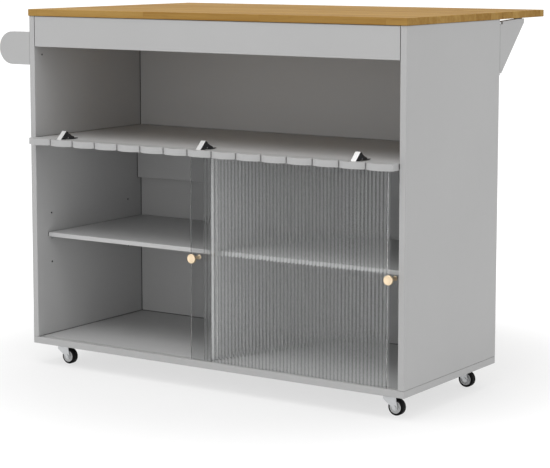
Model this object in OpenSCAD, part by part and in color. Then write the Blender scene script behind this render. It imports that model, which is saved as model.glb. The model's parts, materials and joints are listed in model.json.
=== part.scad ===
// Drop leaf kitchen island on casters: worktop with a hinged rear leaf on two swing brackets, an open
// upper compartment with a fluted fold-up lip, two sliding ribbed-glass doors and a towel rack.
// Millimetres, +Z up, floor at Z 0. X runs along the length and the leaf is on the +Y side.
// Pieces are drawn from the body's front left corner, then moved so the origin is under the middle.

/* [Body] */
// Length of the body over both side panels
body_w = 1100; // [1000:10:1300]
// Depth of the body from the front edges of the side panels to its back
body_d = 450; // [430:10:520]
// Height of the worktop's upper face above the floor
total_h = 915; // [900:5:960]
// Thickness of the body boards
board_t = 16; // [15:0.5:19]
// Thickness of the base board
base_t = 17; // [16:0.5:20]
// Height of the middle shelf's upper face above the floor
shelf_z = 591; // [560:1:610]
// Height of the board across the front under the worktop
fascia_h = 78; // [60:1:100]
// Height of the stiffening rail at the back under the worktop
top_rail_h = 60; // [40:1:80]
// Height of the rails at the back under the middle shelf
back_rail_h = 131; // [80:1:160]
// Set-back of the centre divider's front edge
divider_set = 26; // [25:0.5:34]

/* [Worktop and leaf] */
// Thickness of the worktop and of the leaf
top_t = 17; // [16:0.5:22]
// Overhang of the worktop at the front and at both ends
top_over = 2; // [0:0.5:6]
// Reach of the fixed worktop behind the body
seam_reach = 10; // [9:0.5:14]
// Gap between the worktop and the leaf
leaf_gap = 1.5; // [1:0.1:2.5]
// Depth of the drop leaf from the gap to its free edge
leaf_d = 224.5; // [200:0.5:240]

/* [Leaf hinges] */
// Distance of the outer leaf hinges from the middle
leaf_hinge_x = 330; // [250:5:340]
// Length of one leaf hinge
leaf_hinge_len = 60; // [50:1:80]
// Outer radius of the leaf hinge knuckles
leaf_knuckle_r = 3.5; // [3:0.1:4]
// Radius of the leaf hinge pins
leaf_pin_r = 1.5; // [1.2:0.1:1.8]
// Depth of the hinge axis below the underside of the worktop
leaf_axis_drop = 6.5; // [6:0.1:8]
// Sheet thickness of the leaf hinge plates
leaf_plate_t = 2; // [1.6:0.1:2]
// Height of the hinge plate on the back of the body
wall_plate_h = 38; // [30:1:50]
// Width of the hinge plate under the leaf
leaf_plate_w = 30; // [24:1:40]
// Side play of the moving knuckle between the fixed ones
knuckle_play = 0.3; // [0.2:0.1:0.6]

/* [Leaf brackets] */
// Thickness of the swing brackets
bracket_t = 14; // [12:0.5:14]
// Reach of a bracket from its pivot to its nose
bracket_reach = 124; // [100:1:160]
// Height of the bracket's nose
nose_h = 9; // [6:0.5:16]
// Height of the bracket over its slanted lower edge, at the pivot
bracket_h = 128; // [110:1:150]
// Gap between the brackets and the underside of the leaf
bracket_gap = 2; // [1.5:0.1:3]
// Drop of a bracket's top edge from its rest pad to its pivot
bracket_slope = 3.5; // [2:0.5:4]
// Gap between the folded bracket and the back of the body
fold_gap = 1; // [0.6:0.1:2]
// Thickness of the pivot lugs
lug_t = 4; // [3:0.5:5]
// Radius of the pivot lugs' rounded ends
lug_r = 6; // [5.5:0.1:6]
// Gap between a lug and the bracket's barrel
lug_gap = 1; // [0.5:0.1:2]
// Radius of the bracket pivot pins
pivot_r = 3; // [2.5:0.1:3.5]
// Sheet thickness of the strip let into the panel's rear edge
strip_t = 1.5; // [1.2:0.1:2.5]
// Length of the rest pad on each bracket
pad_len = 30; // [20:1:40]
// Width of the rest pad on each bracket
pad_w = 8; // [6:0.5:10]
// Play between a rest pad and the leaf
pad_play = 0.2; // [0.1:0.05:0.4]

/* [Adjustable shelves] */
// Thickness of the adjustable shelves
shelf_t = 14; // [12:0.5:18]
// Set-back of the adjustable shelves' front edges
shelf_set = 42; // [36:1:56]
// Play around the adjustable shelves
shelf_play = 1; // [0.5:0.1:2]
// Radius of the shelf pins
pin_r = 2.5; // [2:0.1:3]
// Depth of the shelf pin holes
pin_in = 7; // [5:0.5:7]
// Length of a shelf pin outside its hole
pin_out = 8; // [6:0.5:10]
// Height of the middle row of pin holes
pin_z = 325; // [290:1:345]
// Distance between the rows of pin holes
pin_pitch = 64; // [32:1:64]
// Distance of the front pin holes from the front
pin_front = 58; // [52:1:80]
// Distance of the rear pin holes from the front
pin_back = 377; // [300:1:380]
// Distance of the single hole under the front board from the front
top_hole_y = 29.5; // [24:0.5:40]
// Drop of that hole below the front board
top_hole_drop = 21; // [15:1:40]

/* [Sliding doors] */
// Width over which the closed doors lap behind one another
pane_lap = 31.6; // [26:0.1:60]
// Thickness of a pane over its ribs
pane_t = 5; // [4.5:0.1:5.2]
// Number of ribs across a pane
rib_count = 55; // [40:1:70]
// Height of the ribs
rib_h = 1.2; // [0.6:0.1:1.6]
// Straight steps that make up one rib
rib_steps = 6; // [4:2:8]
// Front face of the front pane behind the body's front
pane_set = 5; // [4:0.5:6]
// Clear gap between the two panes
pane_gap = 4; // [3.6:0.1:4.4]
// Sideways play of a pane in its channel
pane_play = 0.3; // [0.2:0.05:0.5]
// Play between a closed door and the side panel
side_play = 0.3; // [0.2:0.05:0.6]
// Gap between the open left door and the right side panel
park_gap = 34; // [32:0.5:60]
// Outer wall of the channel inserts
track_wall = 1.2; // [0.8:0.1:1.6]
// Web of the channel inserts
track_web = 1; // [0.8:0.1:1.5]
// Depth of the lower channels
lower_depth = 4; // [3:0.5:5]
// Depth of the upper channels
upper_depth = 9; // [8:0.5:9]
// Play under a pane
pane_lift = 0.3; // [0.2:0.1:0.5]
// Depth of a pane inside the upper channel
pane_hold = 4.3; // [3.5:0.1:4.5]

/* [Knobs] */
// Radius of a knob's head
knob_r = 11.5; // [9:0.5:12]
// Thickness of a knob's head at its rim
knob_head_t = 7; // [5:0.5:9]
// Width of the flat face inside a knob's raised rim
knob_dish_r = 8.5; // [6:0.5:9]
// Length of a knob in front of its pane
knob_len = 34; // [28:0.5:36]
// Radius of a knob's foot
knob_foot_r = 6; // [5:0.5:7]
// Radius of a knob's neck
knob_neck_r = 4; // [3.5:0.1:4.5]
// Length of a knob's straight neck, which passes the edge of the front pane
knob_neck_len = 12; // [11:0.5:15]
// Height of the knobs above the floor
knob_z = 327; // [300:1:360]
// Distance of the left knob from its door's left edge
left_knob_in = 25.5; // [20:0.5:28]
// Distance of the right knob from its door's right edge
right_knob_in = 16.7; // [12:0.1:18]
// Radius of the knob screws
knob_screw_r = 2; // [1.5:0.1:2.2]
// Radius of the knob screws' heads
knob_head_r = 4.2; // [3.8:0.1:5]
// Height of the knob screws' heads
knob_head_h = 2.2; // [1.5:0.1:2.6]
// Depth of the knob screws in the knobs
knob_screw_in = 12; // [8:0.5:14]

/* [Fluted lip] */
// Number of flutes along the lip
flute_count = 15; // [13:2:17]
// Reach of the lip in front of the body
lip_reach = 40; // [38:0.5:44]
// Depth of the valleys between the flutes
flute_depth = 8; // [5:0.5:9]
// Width of the grooves between the flutes
groove_w = 3; // [2:0.5:4]
// Depth of the grooves behind the valleys
groove_in = 3.5; // [2:0.5:4.5]
// Gap between the lip and the middle shelf
lip_gap = 1.5; // [1.5:0.1:2]
// Gap between the lip's ends and the inner faces of the side panels
lip_end_gap = 1; // [0.5:0.1:3]
// Distance of the outer lip hinges from the middle
lip_hinge_x = 431; // [415:1:440]
// Distance of the lip's hinge axis in front of the body
lip_axis_y = 2; // [1.8:0.1:2.2]
// Height of the lip's hinge axis over the shelf
lip_axis_z = 4; // [3.8:0.1:4.2]
// Radius of the lip hinge pins
lip_pin_r = 1.5; // [1.2:0.1:1.7]
// Radius of the eye at the end of the fixed arm
lip_eye_r = 3.4; // [3:0.1:3.4]
// Width of the fixed arm
arm_w = 9; // [8:0.5:10]
// Thickness of the moving cheeks and of the slanted plate
cheek_t = 2; // [1.5:0.1:2]
// Play between the arm and the cheeks
cheek_play = 0.2; // [0.1:0.05:0.3]
// Radius of the hinge cup let into the lip
cup_r = 13; // [12:0.5:13]
// Distance of the cup's centre in front of the body
cup_y = 19; // [19:0.1:20]
// Depth of the cup in the lip
cup_depth = 9; // [8:0.5:10]
// Wall of the cup
cup_wall = 1.2; // [1:0.1:1.5]
// Width of the cup's flange
cup_flange = 2; // [1:0.5:2]
// Thickness of the cup's flange
cup_flange_t = 1; // [0.6:0.1:1]
// Thickness of the base plate on the shelf
base_plate_t = 1.5; // [1.2:0.1:1.6]
// Rear end of the base plate behind the body's front
base_plate_y = 35; // [33:0.5:40]

/* [Towel rack] */
// Thickness of the rack's end plates
rack_t = 16; // [12:0.5:20]
// Reach of the rack beyond the left side panel
rack_reach = 101; // [80:1:120]
// Radius of the rounded outer ends
rack_r = 41.5; // [30:0.5:45]
// Depth of the rack's middle below the worktop's upper face
rack_drop = 99.5; // [80:0.5:130]
// Radius of the towel rail
rail_r = 10; // [8:0.5:12]
// Depth of the rail in each end plate
rail_in = 8; // [6:0.5:10]

/* [Casters] */
// Height of a caster from the floor to the base board
caster_h = 55; // [55:0.5:60]
// Radius of the wheels
wheel_r = 20; // [18:0.5:21]
// Width of the wheels
wheel_w = 18; // [14:0.5:20]
// Radius of the hub under the tyre
hub_r = 14.5; // [12:0.5:15]
// Radius of the wheel axles
axle_r = 2.5; // [2:0.1:3]
// Trail of the wheel axle behind the swivel axis
trail = 14; // [12:0.5:15]
// Distance of the swivel axes from the ends of the body
swivel_x = 62; // [55:1:80]
// Distance of the swivel axes from the front and back of the body
swivel_y = 54; // [50:1:70]
// Side of the square mounting plate
plate_w = 52; // [50:1:56]
// Thickness of the mounting plate
plate_t = 2.5; // [2:0.1:3]
// Corner radius of the mounting plate
plate_r = 5; // [3:0.5:8]
// Radius of the upper race
race_r = 17; // [15:0.5:18]
// Height of the upper race
race_h = 4; // [3:0.5:4]
// Radius of the swivel pin
king_r = 4; // [3.5:0.1:4.5]
// Radius of the swivel pin's lower head
king_head_r = 7; // [6:0.5:7.5]
// Height of the swivel pin's lower head
king_head_h = 2.7; // [2:0.1:3]
// Radius of the fork's crown
crown_r = 18; // [16:0.5:19]
// Height of the fork's crown
crown_h = 4.2; // [3.5:0.1:4.5]
// Sheet thickness of the fork's legs
leg_t = 2.2; // [1.8:0.1:2.5]
// Side play between the wheel and the fork's legs
leg_play = 1; // [0.8:0.1:2]
// Radius of the fork's lower ends
leg_end_r = 7; // [6:0.5:8]
// Distance of the mounting screws from the swivel axis along both directions
plate_screw = 20; // [19:0.5:21]

/* [Screws and running fits] */
// Radius of the small countersunk screws
screw_r = 1.5; // [1.3:0.1:1.7]
// Radius of the small screws' heads
screw_head_r = 3; // [2.6:0.1:3]
// Height of the small screws' heads
screw_head_h = 1.4; // [1.2:0.1:1.5]
// Length of the small screws
screw_len = 12; // [10:0.5:12]
// Radius of the caster screws
cs_r = 1.8; // [1.5:0.1:2]
// Radius of the caster screws' heads
cs_head_r = 3.6; // [3.2:0.1:4]
// Height of the caster screws' heads
cs_head_h = 1.7; // [1.4:0.1:2]
// Length of the caster screws in the base board
cs_in = 10; // [8:0.5:12]
// Radial clearance of every pin that turns in a hole
run_fit = 0.05; // [0.03:0.01:0.08]
// Radial clearance of every screw in its hole
screw_fit = 0.05; // [0.03:0.01:0.1]
// Axial play between turning parts
turn_play = 0.3; // [0.2:0.05:0.5]

/* [Hidden] */
$fn = 96;
eps = 0.5;
body_grey = [0.72, 0.72, 0.71];
inner_grey = [0.62, 0.62, 0.61];
oak = [0.80, 0.60, 0.36];
steel = [0.70, 0.71, 0.72];
dark_steel = [0.35, 0.36, 0.38];
brass = [0.83, 0.65, 0.33];
glass = [0.86, 0.90, 0.90, 0.5];
black = [0.08, 0.08, 0.09];
hub_grey = [0.55, 0.56, 0.57];
clear_grey = [0.80, 0.80, 0.80];

// Levels and faces that several pieces share
floor_z = caster_h + base_t;
under_top = total_h - top_t;
shelf_under = shelf_z - board_t;
inner_w = body_w - 2 * board_t;
back_y = body_d - board_t;
mid_x = body_w / 2;
divider_x = mid_x - board_t / 2;
half_w = divider_x - board_t;
leaf_y = body_d + seam_reach + leaf_gap;
leaf_end = leaf_y + leaf_d;

// Origin under the middle of the whole object's box
origin_x = (body_w + top_over - rack_reach) / 2;
origin_y = (leaf_end - lip_reach) / 2;

// Leaf hinge axis
hinge_y = body_d + seam_reach + leaf_gap / 2;
hinge_z = under_top - leaf_axis_drop;
knuckle_len = leaf_hinge_len / 3;

// Bracket pivots
pivot_y = body_d + fold_gap + bracket_t / 2;
bracket_top = under_top - bracket_gap;
barrel_bottom = bracket_top - bracket_h;
barrel_top = bracket_top - lug_t - 2 * lug_gap - 4;
notch_y = bracket_t / 2 + 2;
pad_start = bracket_reach - pad_len - 6;
top_hole_z = under_top - fascia_h - top_hole_drop;
lower_lug_z = barrel_bottom - lug_gap - lug_t;
upper_lug_z = barrel_top + lug_gap;

// Doors and channels
channel_w = pane_t + 2 * pane_play;
track_y = pane_set - pane_play - track_wall;
track_w = 2 * track_wall + 2 * channel_w + pane_gap - 2 * pane_play;
rear_pane_y = pane_set + pane_t + pane_gap;
pane_z = floor_z - lower_depth + pane_lift;
pane_h = shelf_under + pane_hold - pane_z;
pane_w = (inner_w - 2 * side_play + pane_lap) / 2;
left_door_x = body_w - board_t - park_gap - pane_w;
right_door_x = body_w - board_t - side_play - pane_w;
left_knob_x = left_door_x + left_knob_in;
right_knob_x = right_door_x + pane_w - right_knob_in;

// Lip and its hinges, with the hinge shapes measured from the hinge axis
lip_x = board_t + lip_end_gap;
lip_len = inner_w - 2 * lip_end_gap;
flute_pitch = lip_len / flute_count;
flute_r = (pow(flute_pitch / 2, 2) + pow(flute_depth, 2)) / (2 * flute_depth);
axis_y = -lip_axis_y;
axis_z = shelf_z + lip_axis_z;
cheek_in = arm_w / 2 + cheek_play;
cheek_out = cheek_in + cheek_t;
flange_top = cup_flange_t - lip_axis_z;
plate_foot = [-29, flange_top];
plate_apex = [-7, 17];
plate_dir = (plate_apex - plate_foot) / norm(plate_apex - plate_foot);
plate_in = [plate_dir[1], -plate_dir[0]] * cheek_t;
lip_hinges = [mid_x - lip_hinge_x, mid_x, mid_x + lip_hinge_x];

// Towel rack
rack_z = total_h - rack_drop;
rail_x = rack_r - rack_reach;

// Casters
caster_xs = [swivel_x, body_w - swivel_x];
caster_ys = [swivel_y, body_d - swivel_y];
race_z = caster_h - plate_t - race_h;
crown_top = race_z - turn_play;
crown_z = crown_top - crown_h;
king_head_z = crown_z - turn_play - king_head_h;
leg_in = wheel_w / 2 + leg_play;
leg_out = leg_in + leg_t;

module at_origin() {
  translate([-origin_x, -origin_y, 0]) children();
}

// Extrudes a (Y, Z) outline along X, centred on x
module slab_x(x, w, points) {
  translate([x - w / 2, 0, 0]) rotate([90, 0, 90]) linear_extrude(height = w) polygon(points);
}

// Extrudes an (X, Z) outline along Y, from y to y + w
module slab_y(y, w, points) {
  translate([0, y + w, 0]) rotate([90, 0, 0]) linear_extrude(height = w) polygon(points);
}

module rod_x(x, y, z, r, len) {
  translate([x, y, z]) rotate([0, 90, 0]) cylinder(r = r, h = len);
}

module rod_y(x, y, z, r, len) {
  translate([x, y, z]) rotate([-90, 0, 0]) cylinder(r = r, h = len);
}

// Countersunk screw, head face at the origin, shank going down; grow widens it into its hole
module small_screw(grow) {
  translate([0, 0, -screw_len]) cylinder(r = screw_r + grow, h = screw_len - eps);
  translate([0, 0, -screw_head_h]) cylinder(r1 = screw_r + grow, r2 = screw_head_r + grow, h = screw_head_h);
}

// Cross recess in a screw head whose face is at the origin
module cross_recess(r, deep) {
  translate([-r, -r / 4, -deep]) cube([2 * r, r / 2, 2 * deep]);
  translate([-r / 4, -r, -deep]) cube([r / 2, 2 * r, 2 * deep]);
}

module small_screw_made() {
  difference() {
    small_screw(0);
    cross_recess(screw_head_r * 0.5, 0.5);
  }
}

// Places the screws of the lip's base plates, head up
module base_plate_spots() {
  for (x = lip_hinges) {
    translate([x, base_plate_y - 4.5, shelf_z + base_plate_t]) children();
  }
}

// Places the screws of the pivot strips, head to the back
module strip_spots() {
  for (x = [board_t / 2, body_w - board_t / 2]) {
    for (z = [barrel_bottom + 12, (barrel_bottom + barrel_top) / 2, barrel_top - 12]) {
      translate([x, body_d, z]) rotate([-90, 0, 0]) children();
    }
  }
}

// Places the screws of the leaf hinges' wall plates, head to the back
module wall_plate_spots() {
  for (x = [mid_x - leaf_hinge_x, mid_x, mid_x + leaf_hinge_x]) {
    for (s = [-1, 1]) {
      translate([x + s * leaf_hinge_len / 3, body_d + leaf_plate_t, hinge_z - wall_plate_h * 0.65])
        rotate([-90, 0, 0]) children();
    }
  }
}

// Places the screws of the plates under the leaf, head down
module leaf_plate_spots() {
  for (x = [mid_x - leaf_hinge_x, mid_x, mid_x + leaf_hinge_x]) {
    for (s = [-1, 1]) {
      translate([x + s * leaf_hinge_len / 3, leaf_y + leaf_plate_w * 0.62, under_top - leaf_plate_t])
        rotate([180, 0, 0]) children();
    }
  }
}

module caster_spots() {
  for (x = caster_xs) {
    for (y = caster_ys) {
      translate([x, y, 0]) children();
    }
  }
}

module plate_screw_spots() {
  caster_spots() {
    for (sx = [-1, 1]) {
      for (sy = [-1, 1]) {
        translate([sx * plate_screw, sy * plate_screw, 0]) children();
      }
    }
  }
}

// Pin holes in the face x of a board, going into the board along dir
module pin_holes(x, dir) {
  for (y = [pin_front, pin_back]) {
    for (z = [pin_z - pin_pitch, pin_z, pin_z + pin_pitch]) {
      rod_x(dir > 0 ? x - eps : x - pin_in, y, z, pin_r, pin_in + eps);
    }
  }
}

module base_board() {
  color(body_grey) at_origin() difference() {
    translate([0, 0, caster_h]) cube([body_w, body_d, base_t]);
    translate([board_t, track_y, floor_z - lower_depth - track_web])
      cube([inner_w, track_w, lower_depth + track_web + eps]);
    plate_screw_spots() translate([0, 0, caster_h - eps]) cylinder(r = cs_r + screw_fit, h = cs_in + eps);
  }
}

module side_panel(x, inner_x, dir) {
  difference() {
    translate([x, 0, floor_z]) cube([board_t, body_d, under_top - floor_z]);
    pin_holes(inner_x, dir);
    rod_x(dir > 0 ? inner_x - eps : inner_x - pin_in, top_hole_y, top_hole_z, pin_r, pin_in + eps);
    translate([x + board_t / 2 - lug_r, body_d - strip_t, lower_lug_z])
      cube([2 * lug_r, strip_t + eps, upper_lug_z + lug_t - lower_lug_z]);
    strip_spots() small_screw(screw_fit);
  }
}

module left_side_panel() {
  color(body_grey) at_origin() side_panel(0, board_t, -1);
}

module right_side_panel() {
  color(body_grey) at_origin() side_panel(body_w - board_t, body_w - board_t, 1);
}

module back_panel() {
  color(inner_grey) at_origin() difference() {
    translate([board_t, back_y, floor_z]) cube([inner_w, board_t, under_top - floor_z]);
    wall_plate_spots() small_screw(screw_fit);
  }
}

module middle_shelf() {
  color(inner_grey) at_origin() difference() {
    translate([board_t, 0, shelf_under]) cube([inner_w, back_y, board_t]);
    translate([board_t - eps, track_y, shelf_under - eps])
      cube([inner_w + 2 * eps, track_w, upper_depth + track_web + eps]);
    base_plate_spots() small_screw(screw_fit);
  }
}

module centre_divider() {
  color(inner_grey) at_origin() difference() {
    translate([divider_x, divider_set, floor_z]) cube([board_t, back_y - divider_set, shelf_under - floor_z]);
    pin_holes(divider_x, 1);
    pin_holes(divider_x + board_t, -1);
  }
}

module front_fascia() {
  color(body_grey) at_origin() translate([board_t, 0, under_top - fascia_h])
    cube([inner_w, board_t, fascia_h]);
}

module rear_top_rail() {
  color(inner_grey) at_origin() translate([board_t, back_y - board_t, under_top - top_rail_h])
    cube([inner_w, board_t, top_rail_h]);
}

module back_rails() {
  color(inner_grey) at_origin() {
    for (x = [board_t, divider_x + board_t]) {
      translate([x, back_y - board_t, shelf_under - back_rail_h]) cube([half_w, board_t, back_rail_h]);
    }
  }
}

module adjustable_shelf(x) {
  translate([x + shelf_play, shelf_set, pin_z + pin_r])
    cube([half_w - 2 * shelf_play, back_y - shelf_play - shelf_set, shelf_t]);
}

module adjustable_shelf_left() {
  color(inner_grey) at_origin() adjustable_shelf(board_t);
}

module adjustable_shelf_right() {
  color(inner_grey) at_origin() adjustable_shelf(divider_x + board_t);
}

module shelf_pins() {
  color(steel) at_origin() {
    for (y = [pin_front, pin_back]) {
      rod_x(board_t - pin_in, y, pin_z, pin_r, pin_in + pin_out);
      rod_x(divider_x - pin_out, y, pin_z, pin_r, pin_in + pin_out);
      rod_x(divider_x + board_t - pin_in, y, pin_z, pin_r, pin_in + pin_out);
      rod_x(body_w - board_t - pin_out, y, pin_z, pin_r, pin_in + pin_out);
    }
  }
}

module worktop() {
  color(oak) at_origin() translate([-top_over, -top_over, under_top])
    cube([body_w + 2 * top_over, body_d + seam_reach + top_over, top_t]);
}

module drop_leaf() {
  color(oak) at_origin() difference() {
    translate([-top_over, leaf_y, under_top]) cube([body_w + 2 * top_over, leaf_d, top_t]);
    leaf_plate_spots() small_screw(screw_fit);
  }
}

// Fixed half of the leaf hinges: a plate down the back of the body, a bridge and the two outer knuckles
module leaf_hinge_plates() {
  top = hinge_z + leaf_knuckle_r;
  color(steel) at_origin() difference() {
    for (x = [mid_x - leaf_hinge_x, mid_x, mid_x + leaf_hinge_x]) {
      slab_x(x, leaf_hinge_len, [
        [body_d, top - wall_plate_h],
        [body_d + leaf_plate_t, top - wall_plate_h],
        [body_d + leaf_plate_t, top - leaf_plate_t],
        [hinge_y - leaf_knuckle_r - 0.4, top - leaf_plate_t],
        [hinge_y - leaf_knuckle_r - 0.4, top],
        [body_d, top]
      ]);
      for (s = [-1, 1]) {
        rod_x(x + s * knuckle_len - knuckle_len / 2, hinge_y, hinge_z, leaf_knuckle_r, knuckle_len);
        slab_x(x + s * knuckle_len, knuckle_len, [
          [hinge_y - leaf_knuckle_r - 1, top - leaf_plate_t],
          [hinge_y, top - leaf_plate_t],
          [hinge_y, top],
          [hinge_y - leaf_knuckle_r - 1, top]
        ]);
      }
    }
    for (x = [mid_x - leaf_hinge_x, mid_x, mid_x + leaf_hinge_x]) {
      rod_x(x - leaf_hinge_len / 2 - eps, hinge_y, hinge_z, leaf_pin_r, leaf_hinge_len + 2 * eps);
    }
    wall_plate_spots() small_screw(screw_fit);
  }
}

// Moving half of the leaf hinges: the middle knuckle and the plate under the leaf
module leaf_hinge_flaps() {
  w = knuckle_len - 2 * knuckle_play;
  top = hinge_z + leaf_knuckle_r;
  color(steel) at_origin() difference() {
    for (x = [mid_x - leaf_hinge_x, mid_x, mid_x + leaf_hinge_x]) {
      rod_x(x - w / 2, hinge_y, hinge_z, leaf_knuckle_r, w);
      slab_x(x, w, [
        [hinge_y, top - leaf_plate_t],
        [leaf_y + leaf_knuckle_r + leaf_plate_t, top - leaf_plate_t],
        [leaf_y + leaf_knuckle_r + leaf_plate_t, under_top - leaf_plate_t + 0.2],
        [leaf_y + leaf_knuckle_r, under_top - leaf_plate_t + 0.2],
        [leaf_y + leaf_knuckle_r, top],
        [hinge_y, top]
      ]);
      translate([x - leaf_hinge_len / 2, leaf_y + leaf_knuckle_r, under_top - leaf_plate_t])
        cube([leaf_hinge_len, leaf_plate_w, leaf_plate_t]);
    }
    for (x = [mid_x - leaf_hinge_x, mid_x, mid_x + leaf_hinge_x]) {
      rod_x(x - leaf_hinge_len / 2, hinge_y, hinge_z, leaf_pin_r + run_fit, leaf_hinge_len);
    }
    leaf_plate_spots() small_screw(screw_fit);
  }
}

module leaf_hinge_pins() {
  color(steel) at_origin() {
    for (x = [mid_x - leaf_hinge_x, mid_x, mid_x + leaf_hinge_x]) {
      rod_x(x - leaf_hinge_len / 2, hinge_y, hinge_z, leaf_pin_r, leaf_hinge_len);
    }
  }
}

module leaf_screws() {
  color(steel) at_origin() leaf_plate_spots() small_screw_made();
}

// Triangular swing bracket around its vertical pivot, reaching along +Y
module bracket_shape() {
  difference() {
    union() {
      translate([0, 0, barrel_bottom]) cylinder(r = bracket_t / 2, h = barrel_top - barrel_bottom);
      slab_x(0, bracket_t, [
        [0, barrel_bottom],
        [5, barrel_bottom],
        [bracket_reach, bracket_top - nose_h],
        [bracket_reach, bracket_top],
        [pad_start, bracket_top],
        [notch_y, bracket_top - bracket_slope],
        [notch_y, barrel_top],
        [0, barrel_top]
      ]);
    }
    translate([0, 0, barrel_bottom - eps])
      cylinder(r = pivot_r + run_fit, h = barrel_top - barrel_bottom + 2 * eps);
  }
}

module left_leaf_bracket() {
  color(body_grey) at_origin() translate([board_t / 2, pivot_y, 0]) bracket_shape();
}

module right_leaf_bracket() {
  color(body_grey) at_origin() translate([body_w - board_t / 2, pivot_y, 0]) bracket_shape();
}

// Fixed pivot of a bracket: strip let into the panel, two lugs and the pin
module pivot_shape() {
  reach = pivot_y - body_d;
  for (z = [lower_lug_z, upper_lug_z]) {
    translate([0, 0, z]) cylinder(r = lug_r, h = lug_t);
    translate([-lug_r, -reach - strip_t, z]) cube([2 * lug_r, reach + strip_t, lug_t]);
  }
  strip_len = upper_lug_z + lug_t - lower_lug_z;
  translate([-lug_r, -reach - strip_t, lower_lug_z]) cube([2 * lug_r, strip_t, strip_len]);
  translate([0, 0, lower_lug_z]) cylinder(r = pivot_r, h = strip_len);
}

module left_bracket_pivot() {
  color(steel) at_origin() difference() {
    translate([board_t / 2, pivot_y, 0]) pivot_shape();
    strip_spots() small_screw(screw_fit);
  }
}

module right_bracket_pivot() {
  color(steel) at_origin() difference() {
    translate([body_w - board_t / 2, pivot_y, 0]) pivot_shape();
    strip_spots() small_screw(screw_fit);
  }
}

module pad_shape() {
  translate([-pad_w / 2, pad_start, bracket_top])
    cube([pad_w, pad_len, bracket_gap - pad_play]);
}

module left_bracket_pad() {
  color(black) at_origin() translate([board_t / 2, pivot_y, 0]) pad_shape();
}

module right_bracket_pad() {
  color(black) at_origin() translate([body_w - board_t / 2, pivot_y, 0]) pad_shape();
}

// Double channel insert of a door track; the channels open upwards from the web at z
module track_shape(z, depth, web_below) {
  total = depth + track_web;
  cut_z = web_below ? z + track_web : z - eps;
  difference() {
    translate([board_t, track_y, z]) cube([inner_w, track_w, total]);
    for (y = [pane_set - pane_play, rear_pane_y - pane_play]) {
      translate([board_t - eps, y, cut_z]) cube([inner_w + 2 * eps, channel_w, depth + eps]);
    }
  }
}

module upper_door_track() {
  color(clear_grey) at_origin() track_shape(shelf_under, upper_depth, false);
}

module lower_door_track() {
  color(clear_grey) at_origin() track_shape(floor_z - lower_depth - track_web, lower_depth, true);
}

// Depth of the rib front at step k, a shallow arch over each rib
function rib_y(k) = rib_h * pow(2 * (k % rib_steps) / rib_steps - 1, 2);

// Ribbed pane with its front at y, and the hole for the knob's screw
module pane(x, y, knob_x) {
  n = rib_count * rib_steps;
  front = [for (k = [0:n]) [pane_w * k / n, rib_y(k)]];
  difference() {
    translate([x, y, pane_z]) linear_extrude(height = pane_h)
      polygon(concat(front, [[pane_w, pane_t], [0, pane_t]]));
    rod_y(knob_x, y - eps, knob_z, knob_screw_r + 0.4, pane_t + 2 * eps);
  }
}

module left_glass_door() {
  color(glass) at_origin() pane(left_door_x, pane_set, left_knob_x);
}

module right_glass_door() {
  color(glass) at_origin() pane(right_door_x, rear_pane_y, right_knob_x);
}

// Turned knob standing in front of y, with the threaded hole for its screw
module knob(x, y) {
  under = knob_len - knob_head_t;
  flare_r = knob_r - 1.2 - knob_neck_r;
  flare_len = under - knob_neck_len;
  flare = [for (t = [0:0.2:1]) [knob_neck_r + flare_r * pow(t, 1.5), knob_neck_len + flare_len * t]];
  rim = [for (a = [0:30:90]) [knob_r - 1.2 + 1.2 * cos(a), knob_len - 1.2 + 1.2 * sin(a)]];
  translate([x, y, knob_z]) rotate([90, 0, 0]) difference() {
    rotate_extrude() polygon(concat(
      [[0, 0], [knob_foot_r, 0], [knob_foot_r, 1.6], [knob_neck_r, 4]],
      flare,
      [[knob_r, under + 1]],
      rim,
      [[knob_dish_r, knob_len - 0.7], [0, knob_len - 0.7]]
    ));
    translate([0, 0, -eps]) cylinder(r = knob_screw_r + screw_fit, h = knob_screw_in + eps);
  }
}

module left_knob() {
  color(brass) at_origin() knob(left_knob_x, pane_set);
}

module right_knob() {
  color(brass) at_origin() knob(right_knob_x, rear_pane_y);
}

// Knob screw with its head behind the pane whose front is at y
module knob_screw(x, y) {
  translate([x, y + pane_t, knob_z]) rotate([-90, 0, 0]) difference() {
    union() {
      cylinder(r = knob_head_r, h = knob_head_h);
      translate([0, 0, -pane_t - knob_screw_in + eps]) cylinder(r = knob_screw_r, h = pane_t + knob_screw_in);
    }
    translate([0, 0, knob_head_h]) cross_recess(knob_head_r * 0.5, 0.8);
  }
}

module left_knob_screw() {
  color(steel) at_origin() knob_screw(left_knob_x, pane_set);
}

module right_knob_screw() {
  color(steel) at_origin() knob_screw(right_knob_x, rear_pane_y);
}

// V-shaped cut with its point at the origin, opening along -Y past the front of the lip
module groove_cut() {
  open_in = groove_in + flute_depth + eps;
  half = groove_w / 2 * open_in / groove_in;
  linear_extrude(board_t + 2 * eps) polygon([[0, 0], [-half, -open_in], [half, -open_in]]);
}

// Fluted lip: a board whose front edge is a row of shallow arches, bored for the three hinge cups
module fluted_lip() {
  color(body_grey) at_origin() difference() {
    intersection() {
      translate([lip_x, -lip_reach, shelf_under]) cube([lip_len, lip_reach - lip_gap, board_t]);
      union() {
        for (i = [0:flute_count - 1]) {
          translate([lip_x + (i + 0.5) * flute_pitch, flute_r - lip_reach, shelf_under - eps])
            cylinder(r = flute_r, h = board_t + 2 * eps, $fn = 192);
        }
      }
    }
    for (i = [1:flute_count - 1]) {
      translate([lip_x + i * flute_pitch, flute_depth + groove_in - lip_reach, shelf_under - eps])
        groove_cut();
    }
    for (x = lip_hinges) {
      translate([x, -cup_y, shelf_z - cup_depth]) cylinder(r = cup_r, h = cup_depth + eps);
    }
  }
}

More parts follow.
